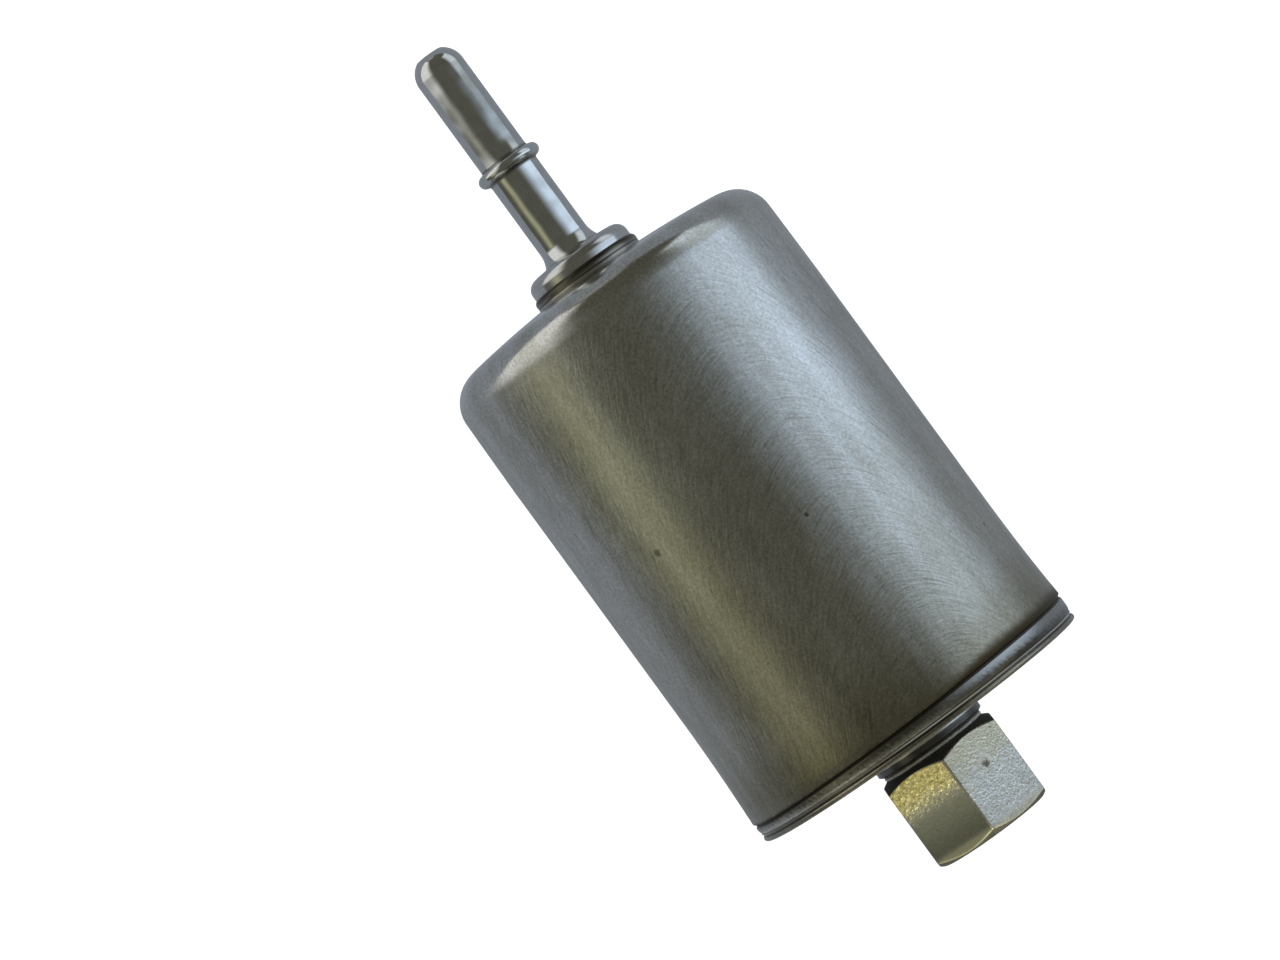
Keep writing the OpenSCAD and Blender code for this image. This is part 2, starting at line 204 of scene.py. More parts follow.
def can_steel():
    """Sanded sheet steel: arched scratches, a fine grain, pits, warm tarnish and grime along the seam."""
    g = Graph("can_steel")
    x, angle, _, place = g.place()
    fine, strong = arc_scratches(g, x, angle)
    wall = g.mul(g.span(x, 37.0, 31.0), g.span(x, -36.9, -35.0))          # the sanded part
    fine_here, strong_here = g.mul(g.sub(fine, 0.5), wall), g.mul(g.span(strong, 0.57, 0.70), wall)
    broad = g.noise(place, 0.055, 3.0, 0.55)
    grain = g.noise(place, 2.4, 3.0, 0.8)
    cloud = g.noise(g.vector(g.mul(x, 0.5), g.mul(angle, CAN_R), 3.0), 0.16, 4.0, 0.6)
    smear = g.noise(g.vector(g.mul(x, 0.16), g.mul(angle, CAN_R), 9.0), 0.22, 3.0, 0.55)
    pits = g.span(g.cells(place, 0.10), 0.020, 0.045, 1.0, 0.0)
    base = g.mix(g.span(g.add(g.mul(smear, 0.6), g.mul(broad, 0.4)), 0.36, 0.64),
                 (0.475, 0.47, 0.43), (0.575, 0.575, 0.55))
    tone = g.add(g.mul(fine_here, 2.6), g.add(g.mul(g.sub(grain, 0.5), 2.4), g.mul(g.sub(cloud, 0.5), 0.5)))
    base = g.mix(g.math("ADD", tone, 0.5, clamp=True), g.mix(1.0, base, (0.72, 0.71, 0.67), "MULTIPLY"),
                 g.mix(1.0, base, (1.25, 1.25, 1.24), "MULTIPLY"))
    base = g.mix(g.mul(strong_here, 0.5), base, (0.27, 0.26, 0.22))
    from_spot = g.math("SQRT", g.add(g.math("POWER", g.sub(x, 3.0), 2.0),
                                     g.math("POWER", g.add(g.mul(angle, CAN_R), 16.3), 2.0)))
    spot = g.span(g.add(from_spot, g.mul(g.sub(grain, 0.5), 0.5)), 0.25, 0.75, 1.0, 0.0)
    # tarnish, stronger towards the seam
    low = g.span(g.add(x, g.mul(g.sub(cloud, 0.5), 26.0)), 20.0, -42.0)
    base = g.mix(g.mul(low, 0.7), base, g.mix(1.0, base, (0.80, 0.76, 0.66), "MULTIPLY"))
    near_seam = g.span(g.add(x, g.mul(g.sub(smear, 0.5), 6.0)), -24.0, -36.0)
    base = g.mix(g.mul(near_seam, 0.85), base, g.mix(1.0, base, (0.64, 0.61, 0.52), "MULTIPLY"))
    # grime in and above the groove, in a ragged band that is thicker on one side of the can
    ragged = g.noise(g.vector(g.mul(x, 0.7), g.mul(angle, CAN_R), 0.0), 0.6, 4.0, 0.75)
    seam_x = g.sub(x, g.mul(g.math("SINE", angle), SEAM_TILT))
    depth = g.add(g.mul(ragged, 1.1), g.span(angle, 0.2, 0.6, 0.0, 1.3))
    above = g.math("DIVIDE", g.sub(seam_x, -37.1), depth)
    grime = g.mul(g.span(above, 0.3, 1.4, 1.0, 0.0), g.span(seam_x, -37.4, -37.15))
    groove = g.bump_at(seam_x, -37.08, 0.34)
    # the rolled band, in painted light and shade: on one side painted shade above and a painted reflection in
    # pale streaks across its lower half; on the other side lighter above and darker below
    band = g.mul(g.span(seam_x, -37.2, -37.45), g.span(x, -39.1, -38.95))
    strokes = g.noise(g.vector(g.mul(x, 0.55), g.add(g.mul(angle, CAN_R), g.mul(x, 0.5)), 8.0), 1.9, 2.0, 0.7)
    painted_side = g.span(angle, 0.45, 0.0)
    pale = g.mul(g.span(g.add(x, g.mul(g.sub(strokes, 0.5), 2.6)), -37.8, -38.9),
                 g.span(strokes, 0.35, 0.6, 0.45, 1.0))
    plain = g.mix(g.span(g.add(x, g.mul(g.sub(strokes, 0.5), 2.0)), -37.6, -38.8),
                  (0.34, 0.34, 0.32), (0.13, 0.125, 0.11))
    band_painted_light = g.mix(painted_side, plain, g.mix(pale, (0.14, 0.13, 0.105), (0.80, 0.77, 0.66)))
    base = g.mix(g.mul(grime, 0.9), base, (0.075, 0.055, 0.028))
    # lays the band's painted light and shade over the can
    base = g.mix(g.mul(band, 0.9), base, band_painted_light)
    base = g.mix(g.mul(groove, 0.9), base, (0.03, 0.026, 0.02))
    hook = g.math("MAXIMUM", g.bump_at(x, -39.60, 0.14), g.mul(g.bump_at(x, -39.04, 0.11), 0.85))
    base = g.mix(g.mul(hook, 0.9), base, (0.02, 0.02, 0.022))
    # painted highlight: a near-white line between the hook's two dark lines, on one side of the can, standing
    # in for light reflected there
    painted_highlight_edge = g.mul(g.bump_at(x, -39.28, 0.16), g.span(angle, -0.3, 0.0))
    base = g.mix(painted_highlight_edge, base, (0.95, 0.95, 0.92))
    base = g.mix(g.mul(g.math("MAXIMUM", pits, spot), 0.7), base, (0.11, 0.10, 0.085))
    polished = g.mul(g.mul(g.span(x, 35.6, 37.2), g.span(x, -39.9, -39.0)), -0.16)
    rough = g.add(g.blend(broad, 0.29, 0.35), g.add(g.mul(fine_here, 0.25), polished))
    rough = g.add(rough, g.mul(g.math("MAXIMUM", grime, groove), 0.2))
    normal = g.bump(g.mul(cloud, wall), 0.00008)
    scratched = g.add(g.mul(g.mul(grain, wall), 0.3), g.mul(g.mul(strong, wall), 0.7))
    normal = g.bump(g.add(g.mul(fine, wall), scratched), 0.00005, normal)
    normal = g.bump(g.mul(pits, -1.0), 0.00003, normal)
    normal = g.bump(g.mul(strokes, band), 0.00005, normal)
    return g.surface(Base_Color=base, Metallic=1.0, Roughness=rough, Normal=normal)


def drawn_tube():
    """Smooth drawn tube: almost a mirror, with faint lines along it, and darker, rougher metal in the corners.
    """
    g = Graph("drawn_tube")
    x, angle, radius, place = g.place()
    lines = g.noise(g.vector(g.mul(x, 0.12), g.mul(angle, 26.0), 0.0), 1.0, 3.0, 0.7)
    cloud = g.noise(place, 0.55, 3.0, 0.6)
    grain = g.noise(place, 9.0, 2.0, 0.6)
    base = g.mix(g.span(cloud, 0.3, 0.75), (0.56, 0.565, 0.53), (0.63, 0.64, 0.62))
    base = g.mix(g.span(lines, 0.56, 0.8, 0.0, 0.4), base, (0.34, 0.335, 0.30))
    corner = g.math("MAXIMUM", g.bump_at(x, 60.55, 0.5),
                    g.math("MAXIMUM", g.bump_at(x, 62.75, 0.4), g.bump_at(x, 45.7, 0.5)))
    base = g.mix(g.mul(corner, 0.75), base, (0.13, 0.115, 0.085))
    inside = g.mul(g.span(radius, 3.05, 3.0), g.span(x, 80.9, 80.2))
    base = g.mix(g.mul(inside, 0.6), base, (0.12, 0.11, 0.09))
    rough = g.add(g.blend(cloud, 0.07, 0.13), g.mul(corner, 0.25))
    normal = g.bump(g.add(lines, g.mul(grain, 0.3)), 0.0000012)
    normal = g.bump(g.noise(place, 0.32, 0.0, 0.5), 0.00006, normal)
    return g.surface(Base_Color=base, Metallic=1.0, Roughness=rough, Normal=normal)


def turned_steel(name, light, dark, rough_low, rough_high, ring_scale=5.0, stains_and_painted_light=()):
    """Lathe-turned steel: fine rings about the axis and clouded tarnish.
    Each ring of colour given is (x, half width, colour, strength): a stain, painted shade or a painted
    highlight."""
    g = Graph(name)
    x, angle, radius, place = g.place()
    rings = g.noise(g.vector(g.mul(x, ring_scale), g.mul(radius, ring_scale), g.mul(angle, 0.6)),
                    1.0, 2.0, 0.7)
    cloud = g.noise(place, 0.4, 4.0, 0.65)
    grain = g.noise(place, 5.0, 2.0, 0.6)
    base = g.mix(g.span(g.add(g.mul(rings, 0.5), g.mul(cloud, 0.5)), 0.36, 0.64), dark, light)
    for centre, half, colour, strength in stains_and_painted_light:
        ragged = g.add(x, g.mul(g.sub(cloud, 0.5), 0.5 * half))
        base = g.mix(g.mul(g.bump_at(ragged, centre, half), strength), base, colour)
    rough = g.blend(cloud, rough_low, rough_high)
    normal = g.bump(g.add(rings, g.mul(grain, 0.6)), 0.000006)
    return g.surface(Base_Color=base, Metallic=1.0, Roughness=rough, Normal=normal)


def braze(name, dull, bright, rough_low, rough_high, metallic=1.0):
    """Braze that has run into a joint: lumpy, browned in places."""
    g = Graph(name)
    place = g.place()[3]
    lumps = g.noise(place, 1.6, 3.0, 0.6)
    stain = g.noise(place, 0.45, 2.0, 0.5)
    base = g.mix(g.span(g.add(g.mul(lumps, 0.5), g.mul(stain, 0.5)), 0.38, 0.58), dull, bright)
    normal = g.bump(lumps, 0.00004)
    rough = g.blend(lumps, rough_low, rough_high)
    return g.surface(Base_Color=base, Metallic=metallic, Roughness=rough, Normal=normal)


def zinc_plate():
    """Zinc plate over a forged surface: a sandy grain that sparkles, a yellow bloom on one side that is partly
    a braze stain and partly painted warm light, painted shade beside it and on the chamfers, pits and rubbed
    corners."""
    g = Graph("zinc_plate")
    x, angle, radius, place = g.place()
    y = g.node("ShaderNodeSeparateXYZ", {0: place}).outputs[1]
    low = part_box("inlet_fitting")[0].x / MM
    slope = math.tan(math.pi / 6)
    # distances from the upper and the lower chamfer
    upper = g.sub(g.add(8.2, g.mul(g.sub(low + 15.0, x), 1 / slope)), radius)
    lower = g.sub(g.add(9.0, g.mul(g.sub(x, low), 1 / slope)), radius)
    flats = g.mul(g.span(upper, 0.03, 0.22), g.span(lower, 0.03, 0.18))
    sand = g.noise(place, 1.9, 3.0, 0.7)
    grit = g.cells(place, 2.6)
    cloud = g.noise(place, 0.33, 4.0, 0.6)
    streak = g.noise(g.vector(g.mul(x, 0.3), g.mul(angle, 9.5), 0.0), 0.6, 3.0, 0.6)
    base = g.mix(g.span(cloud, 0.36, 0.66), (0.76, 0.76, 0.70), (0.89, 0.895, 0.83))
    base = g.mix(g.span(sand, 0.40, 0.66, 0.45, 0.0), base, (0.42, 0.41, 0.36))
    faint = g.span(g.add(x, g.mul(g.sub(streak, 0.5), 10.0)), -53.0, -44.5)
    base = g.mix(g.mul(faint, 0.6), base, (0.69, 0.62, 0.38))
    edge = g.add(g.mul(g.sub(sand, 0.5), 2.6), g.mul(g.sub(streak, 0.5), 2.4))
    # the bloom: a yellow braze stain, partly painted warm light on that side of the hexagon
    bloom = g.mul(g.span(g.add(x, edge), -51.8, -46.6),
                  g.mul(g.span(y, 0.15, 0.45), g.mul(flats, g.span(radius, 7.4, 7.8))))
    shine = g.noise(place, 3.1, 2.0, 0.75)
    speck = g.span(g.add(g.mul(shine, 0.75), g.mul(sand, 0.25)), 0.46, 0.62)
    olive = g.mix(g.span(sand, 0.35, 0.6), (0.46, 0.42, 0.18), (0.66, 0.61, 0.33))
    base = g.mix(g.mul(bloom, 0.95), base, g.mix(speck, olive, (1.0, 0.98, 0.74)))
    pits = g.span(g.cells(place, 0.17), 0.02, 0.06, 1.0, 0.0)
    away = g.math("SQRT", g.add(g.math("POWER", g.add(x, 49.5), 2.0), g.math("POWER", g.add(y, 4.7), 2.0)))
    spot = g.mul(g.span(g.add(away, g.mul(g.sub(sand, 0.5), 0.5)), 0.2, 0.65, 1.0, 0.0),
                 g.span(angle, 0.0, 0.2))
    pits = g.math("MAXIMUM", pits, spot)
    base = g.mix(g.mul(pits, 0.8), base, (0.10, 0.09, 0.075))
    inside = g.span(radius, 7.4, 6.9)
    # beside the bloom the sand grain is smoothed, and the colour is painted shade, darker towards the nut's
    # outer end
    smooth_and_painted_shade = g.mul(g.span(y, 0.0, 0.3), g.sub(1.0, bloom))
    base = g.mix(smooth_and_painted_shade, base, g.mix(g.span(x, -50.0, -57.0), (0.58, 0.59, 0.54), (0.31, 0.32, 0.28)))
    # the chamfers are painted near black: painted shade
    base = g.mix(g.mul(g.mul(g.sub(1.0, flats), g.span(radius, 7.4, 7.8)), 0.9), base, (0.08, 0.08, 0.075))
    base = g.mix(g.mul(inside, 0.45), base, (0.28, 0.26, 0.21))
    rough = g.blend(bloom, g.blend(sand, 0.22, 0.36), g.blend(speck, 0.78, 0.55))
    rubbed_edges = g.math("MAXIMUM", g.sub(1.0, flats), g.span(x, -56.4, -57.6))
    rough = g.add(rough, g.add(g.mul(pits, 0.2), g.mul(rubbed_edges, 0.35)))
    rubbed = g.noise(place, 1.3, 2.0, 0.5)
    normal = g.bump(g.mul(g.add(sand, g.mul(grit, 0.3)), g.blend(smooth_and_painted_shade, 1.0, 0.4)), 0.00007)
    normal = g.bump(g.mul(rubbed, bloom), 0.0002, normal)
    normal = g.bump(g.mul(pits, -1.0), 0.0001, normal)
    return g.surface(Base_Color=base, Metallic=1.0, Roughness=rough, Normal=normal)


def pressed_steel(name, base_light, base_dark, rough_low=0.28, rough_high=0.42):
    """Pressed sheet: faint forming rings, small scratches and clouded tarnish."""
    g = Graph(name)
    x, angle, radius, place = g.place()
    rings = g.noise(g.vector(g.mul(radius, 2.2), g.mul(x, 2.2), g.mul(angle, 0.5)), 1.0, 2.0, 0.65)
    cloud = g.noise(place, 0.14, 4.0, 0.6)
    slanted = g.node("ShaderNodeMapping", {"Vector": place, "Rotation": (0.4, 0.9, 0.3),
                                           "Scale": (0.25, 5.0, 5.0)}).outputs[0]
    scratch = g.noise(slanted, 1.0, 2.0, 0.6)
    base = g.mix(g.span(cloud, 0.3, 0.7), base_dark, base_light)
    base = g.mix(g.span(scratch, 0.62, 0.8, 0.0, 0.5), base, tuple(0.5 * c for c in base_dark))
    normal = g.bump(g.add(rings, g.mul(scratch, 0.6)), 0.000012)
    rough = g.blend(cloud, rough_low, rough_high)
    return g.surface(Base_Color=base, Metallic=1.0, Roughness=rough, Normal=normal)


def rubber():
    g = Graph("seal_rubber")
    place = g.place()[3]
    fine = g.noise(place, 6.0, 3.0, 0.6)
    base = g.mix(fine, (0.012, 0.012, 0.013), (0.035, 0.035, 0.034))
    return g.surface(Base_Color=base, Roughness=g.blend(fine, 0.55, 0.75), Normal=g.bump(fine, 0.00002))


def potting():
    g = Graph("potting")
    place = g.place()[3]
    swirl = g.noise(place, 0.35, 4.0, 0.6)
    base = g.mix(g.span(swirl, 0.3, 0.7), (0.20, 0.12, 0.05), (0.34, 0.22, 0.10))
    return g.surface(Base_Color=base, Roughness=g.blend(swirl, 0.3, 0.5), Normal=g.bump(swirl, 0.0002))


def filter_paper():
    g = Graph("filter_paper")
    x, angle, radius, _ = g.place()
    fibre = g.noise(g.vector(g.mul(x, 0.8), g.mul(angle, 18.0), radius), 2.5, 4.0, 0.7)
    crepe = g.noise(g.vector(g.mul(x, 1.0), g.mul(angle, 3.0), 0.0), 3.0, 2.0, 0.5)
    base = g.mix(g.span(fibre, 0.3, 0.7), (0.62, 0.50, 0.28), (0.78, 0.68, 0.45))
    normal = g.bump(g.add(fibre, crepe), 0.00008)
    return g.surface(Base_Color=base, Roughness=g.blend(fibre, 0.75, 0.95), Normal=normal)


# ---------------------------------------------------------------- mesh makers

def mesh_object(name, points, faces, body, smooth_angle=30.0):
    data = bpy.data.meshes.new(name)
    data.from_pydata([tuple(p) for p in points], [], faces)
    data.validate()
    data.polygons.foreach_set("use_smooth", [True] * len(data.polygons))
    data.set_sharp_from_angle(angle=math.radians(smooth_angle))
    data.update()
    obj = bpy.data.objects.new(name, data)
    bpy.context.scene.collection.objects.link(obj)
    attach(obj, body)
    return obj


def arc(r0, x0, radius, a, b, steps):
    """Points (r, x) along an arc, angles in degrees."""
    return [(r0 + radius * math.cos(math.radians(a + (b - a) * i / steps)),
             x0 + radius * math.sin(math.radians(a + (b - a) * i / steps))) for i in range(steps + 1)]


def refine(profile, longest):
    """Splits the profile's long straight stretches, so that a displaced wall bends smoothly."""
    out = []
    for (r0, x0), (r1, x1) in zip(profile, profile[1:] + profile[:1]):
        n = max(1, math.ceil(math.hypot(r1 - r0, x1 - x0) / longest))
        out += [(r0 + (r1 - r0) * i / n, x0 + (x1 - x0) * i / n) for i in range(n)]
    return out


def lathe(name, profile, body, around=256, shape=None, slide=None):
    """Turns a closed profile of (r, x) in mm about X. shape(r, x, angle) gives how far a point moves out, and
    slide(r, x, angle) how far along X, in mm."""
    profile = np.array(profile)
    count = len(profile)
    angles = np.arange(around) * 2 * math.pi / around
    r = np.repeat(profile[None, :, 0], around, 0)
    x = np.repeat(profile[None, :, 1], around, 0)
    a = np.repeat(angles[:, None], count, 1)
    if shape is not None:
        r, x = r + shape(r, x, a), x + (slide(r, x, a) if slide is not None else 0)
    points = np.stack([x, -r * np.sin(a), r * np.cos(a)], -1).reshape(-1, 3) * MM
    faces = []
    for i in range(around):
        j = (i + 1) % around
        for k in range(count):
            m = (k + 1) % count
            faces.append((i * count + k, i * count + m, j * count + m, j * count + k))
    return mesh_object(name, points, faces, body)


def waves(seed, count, low, high):
    """A smooth random function of (x, angle), made of a few waves, between about -1 and 1."""
    rng = np.random.default_rng(seed)
    terms = [(rng.integers(low, high), rng.uniform(0, 2 * math.pi),
              rng.uniform(-0.12, 0.12), rng.uniform(0.5, 1.0)) for _ in range(count)]

    def value(x, a):
        total = sum(w * np.sin(k * a + p + x * q) for k, p, q, w in terms)
        return total / sum(w for *_, w in terms) * 1.6
    return value


# ---------------------------------------------------------------- the can

def can_profile():
    """The can's wall, outside then inside, with the sizes of the CAD model, in mm."""
    can_r, shoulder_r, taper, sheet = CAN_R, 5.5, 0.15, 0.7
    crown = math.radians(8.2)
    centre_r, centre_x = can_r - taper - shoulder_r, 40 - shoulder_r
    crown_r = centre_r + shoulder_r * math.sin(crown)
    crown_edge = centre_x + shoulder_r * math.cos(crown)
    curve = math.tan(crown) / (2 * crown_r)

    def crown_x(r):
        return crown_edge + curve * (crown_r ** 2 - r ** 2)
    rim, band_top, band_r, lip_r, flare, flare_len = -40.0, -37.05, 27.9, 24.9, 0.5, 17.0
    flare_top = band_top + 0.4 + flare_len
    crown_radii = np.linspace(6.05, crown_r, 16)
    flare_points = [(can_r + flare * t * t, flare_top - flare_len * t) for t in np.linspace(0, 1, 18)]
    neck_r = can_r + flare - 0.35
    outside = [(r, crown_x(r)) for r in crown_radii[:-1]]
    outside += arc(centre_r, centre_x, shoulder_r, 90 - 8.2, 0, 28)
    outside += [(can_r, centre_x - 12)] + flare_points
    outside += [(can_r + flare - 0.05, band_top + 0.28), (neck_r + 0.07, band_top + 0.1), (neck_r, band_top),
                (neck_r + 0.02, band_top - 0.1), (band_r - 0.22, band_top - 0.22),
                (band_r - 0.05, band_top - 0.34), (band_r, band_top - 0.5)]
    outside += [(band_r, rim + 1.7), (band_r - 0.03, rim + 1.45), (band_r - 0.09, rim + 1.22),
                (band_r - 0.18, rim + 1.03), (band_r - 0.2, rim + 0.97), (band_r - 0.2, rim + 0.92),
                (band_r - 0.12, rim + 0.84), (band_r - 0.26, rim + 0.62),
                (band_r - 0.33, rim + 0.5), (band_r - 0.33, rim + 0.42), (band_r - 0.12, rim + 0.32)]
    outside += arc(band_r - 0.4, rim, 0.4, 30, -90, 10)
    outside += [(lip_r + 0.1, rim - 0.395), (lip_r, rim - 0.36)]
    inside = [(lip_r, rim + 0.3), (band_r - sheet, rim + 0.6), (band_r - sheet, band_top - 0.8),
              (neck_r - sheet, band_top - 0.15)]
    inside += [(r - sheet, x) for r, x in reversed(flare_points)] + [(can_r - sheet, centre_x - 12)]
    inside += arc(centre_r, centre_x, shoulder_r - sheet, 0, 90 - 8.2, 12)
    inside += [(r, crown_x(r) - sheet) for r in crown_radii[::-1][1:]]
    return outside + inside


def make_can():
    slow, quick = waves(3, 6, 2, 7), waves(11, 14, 20, 70)

    def shape(r, x, a):
        outer = (r > 26.0)
        body = np.clip((x + 36) / 6, 0, 1) * np.clip((38 - x) / 8, 0, 1)
        seam = np.exp(-((x + 38.4) / 1.2) ** 2)
        return outer * (0.035 * slow(x, a) * body + 0.03 * quick(x * 0.2, a) * seam)

    def slide(r, x, a):
        return SEAM_TILT * np.sin(a) * np.clip((-32.5 - x) / 4.4, 0, 1) * np.clip((x + 38.4) / 1.0, 0, 1)
    can = lathe("can_shell", refine(can_profile(), 1.6), "housing", 384, shape, slide)
    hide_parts("shell")
    paint(can, can_steel())
    return can


# ---------------------------------------------------------------- the spigot

def make_spigot():
    low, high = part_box("outlet_tube")
    nose, tail = high.x / MM, low.x / MM
    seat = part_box("outlet_collar")[1].x / MM + 0.02
    r, s, bore = 3.945, 4.03, 2.95
    roll, hole = r - 3.6, 2.1
    end = math.degrees(math.acos((hole - roll) / 3.6))
    centre = nose - 3.6 * math.sin(math.radians(end))
    bead, lobe = nose - 20.0, 0.95
    outside = arc(roll, centre, 3.6, end - 2, 0, 26)
    outside += [(r, centre - 6), (r, bead + lobe + 0.5), (r + 0.03, bead + lobe + 0.25),
                (r + 0.11, bead + lobe + 0.1), (r + 0.28, bead + lobe)]
    outside += arc(5.25 - lobe, bead, lobe, 84, -84, 26)
    outside += [(s + 0.28, bead - lobe), (s + 0.11, bead - lobe - 0.1), (s + 0.03, bead - lobe - 0.25),
                (s, bead - lobe - 0.5)]
    outside += arc(s + 4.2, seat - 0.02 + 2.5, 4.2, 180, 180 + math.degrees(math.asin(2.48 / 4.2)), 18)
    outside += [(s + 0.2, seat), (s, seat), (s, tail)]
    inner_end = math.degrees(math.acos((hole - roll) / (bore - roll)))
    inside = [(bore, tail)] + arc(roll, centre, bore - roll, 0, inner_end, 12)
    inside += [(hole - 0.02, centre + 2.4), (hole, nose - 0.25)]
    tube = lathe("outlet_spigot", refine(outside + inside, 3.0), "housing", 160)
    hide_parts("outlet_tube")
    paint(tube, drawn_tube())


def make_collar():
    """The collar round the spigot's foot, and the ring under it that is brazed to the can."""
    low, high = (v.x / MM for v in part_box("outlet_collar"))
    collar = [(4.06, low + 0.02), (4.06, high - 0.12), (4.2, high)] + arc(6.75, high - 1.75, 1.75, 90, 0, 16)
    collar += [(8.5, low + 0.75), (8.47, low + 0.6), (8.5, low + 0.45)] + arc(8.32, low + 0.2, 0.2, 12, -90, 6)
    piece = lathe("spigot_collar", refine(collar, 1.0), "housing", 160)
    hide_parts("outlet_collar")
    paint(piece, turned_steel("collar_steel", (0.60, 0.60, 0.57), (0.50, 0.50, 0.47), 0.13, 0.22, 5.0,
                              [(low, 0.9, (0.26, 0.20, 0.09), 0.7), (low, 0.4, (0.05, 0.045, 0.025), 0.9)]))
    low, high = (v.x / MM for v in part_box("outlet_base"))
    ring = [(4.06, low), (4.06, high - 0.03)] + arc(8.15, high - 0.8, 0.8, 90, 0, 10)
    ring += [(8.93, high - 1.25), (8.9, high - 1.32), (8.93, high - 1.4), (8.95, high - 1.8), (8.95, low)]
    piece = lathe("spigot_base", refine(ring, 1.0), "housing", 160)
    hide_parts("outlet_base")
    # the two near-black rings, over the ring's rounded top and in its notch, are painted shade
    paint(piece, turned_steel("base_steel", (0.46, 0.44, 0.39), (0.30, 0.28, 0.23), 0.22, 0.36, 5.0,
                              [(high - 0.35, 1.1, (0.035, 0.03, 0.015), 0.95),
                               (high - 1.32, 0.2, (0.03, 0.028, 0.02), 0.8)]))


def make_inlet_braze():
    """A bead of braze between the boss and the nut."""
    low, high = (v.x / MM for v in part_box("inlet_braze"))
    middle, thick = (low + high) / 2, (high - low) / 2
    wobble = waves(5, 9, 3, 15)
    thick += 0.16                                   # the bead laps a little over the steel on both sides
    outside = [(8.25 + 0.36 * math.cos(math.radians(a)), middle + thick * math.sin(math.radians(a)))
               for a in range(90, -91, -15)]
    bead = lathe("inlet_bead", outside + [(6.1, low), (6.1, high)], "housing", 192,
                 lambda r, x, a: 0.035 * wobble(x, a) * (r > 8.2))
    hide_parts("inlet_braze")
    # the bead's near-white colour is partly pale flux and partly a painted highlight along the joint
    return paint(bead, braze("inlet_braze", (0.80, 0.77, 0.66), (0.98, 0.97, 0.90), 0.25, 0.4, 0.0))


# ---------------------------------------------------------------- the inlet nut

def make_nut():
    """The hexagon with its chamfers and softened corners, its stem, and the real M14 x 1.5 thread inside."""
    low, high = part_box("inlet_fitting")
    end, tail = low.x / MM, high.x / MM
    top = end + 15.0
    flat, soft = 9.5, 0.35
    # angles that fall closely round each corner, where the sides meet in a small radius
    reach = (flat - soft) / math.cos(math.pi / 6)
    turn = math.degrees(math.atan2(soft * 0.5, reach + soft * math.cos(math.pi / 6)))
    steps = [0, turn / 3, turn * 2 / 3, turn] + list(np.linspace(turn, 60 - turn, 15)[1:-1])
    steps += [60 - turn, 60 - turn * 2 / 3, 60 - turn / 3]
    angles = np.radians(np.array([60 * k + v for k in range(6) for v in steps]))
    around = len(angles)
    from_corner = np.abs((angles + math.pi / 6) % (math.pi / 3) - math.pi / 6)
    side = flat / np.cos(math.pi / 6 - from_corner)
    rounded = reach * np.cos(from_corner)
    rounded = rounded + np.sqrt(np.maximum(soft ** 2 - (reach * np.sin(from_corner)) ** 2, 0))
    side = np.where(from_corner < math.radians(turn) + 1e-6, rounded, side)
    slope = math.tan(math.pi / 6)
    xs = np.concatenate([[end], end + np.linspace(0.06, 1.5, 13), np.linspace(end + 2.2, top - 2.4, 10),
                         top - np.linspace(1.9, 0.08, 14), [top]])
    grid = []
    for x in xs:
        limit = min(9.0 + (x - end) / slope, 8.2 + (top - x) / slope)
        near = np.minimum(side, limit)
        # a rounded edge where the chamfer meets the side
        blend = np.exp(-np.abs(side - limit) / 0.12) * 0.05
        grid.append(np.stack([np.full(around, x), near - blend], -1))
    outer = np.array(grid)
    # the thread: one ridge that climbs by a pitch each turn
    minor, major, pitch = 6.19, 7.0, 1.5
    thread_from, thread_to = end + 1.0, end + 12.0
    inner_x = np.arange(end + 0.15, thread_to + 1.6, pitch / 12)
    inner = []
    for x in inner_x:
        phase = ((x - thread_from) / pitch + angles / (2 * math.pi)) % 1.0
        tooth = np.clip(np.minimum(phase, 1 - phase) * 2 * 1.35 - 0.12, 0, 1)
        root = minor + (major - minor) * (1 - tooth)
        fade_out = np.clip((x - (thread_to - 0.4)) / 1.2, 0, 1)
        mouth = 7.3 - np.clip((x - end) / 1.0, 0, 1) * (7.3 - minor)
        r = np.maximum(root * (1 - fade_out) + minor * fade_out, mouth)
        if x > thread_to:
            r = np.full(around, minor - (minor - 4.0) * np.clip((x - thread_to) / 1.5, 0, 1))
        inner.append(np.stack([np.full(around, x), r], -1))
    inner = np.array(inner)

    def ring(x, r):
        return np.stack([np.full(around, x), np.full(around, float(r))], -1)[None]
    # one closed surface: mouth edge, outer side, top, stem, bore, thread
    chain = np.concatenate([
        ring(end, 7.32), ring(end, 8.1), outer, ring(top, 8.15), ring(top, 6.1), ring(top + 0.08, 6.03),
        ring(tail - 0.3, 6.03), ring(tail, 5.75), ring(tail, 4.3), ring(tail - 0.3, 4.0),
        ring((tail + inner_x[-1]) / 2, 4.0), inner[::-1]])
    count = len(chain)
    x, r = chain[..., 0], chain[..., 1]
    points = np.stack([x, -r * np.sin(angles), r * np.cos(angles)], -1).reshape(-1, 3) * MM
    faces = []
    for k in range(count):
        m = (k + 1) % count
        for i in range(around):
            j = (i + 1) % around
            faces.append((k * around + i, k * around + j, m * around + j, m * around + i))
    nut = mesh_object("inlet_nut", points, faces, "housing", 40)
    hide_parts("inlet_fitting")
    return paint(nut, zinc_plate())


# ---------------------------------------------------------------- the spring

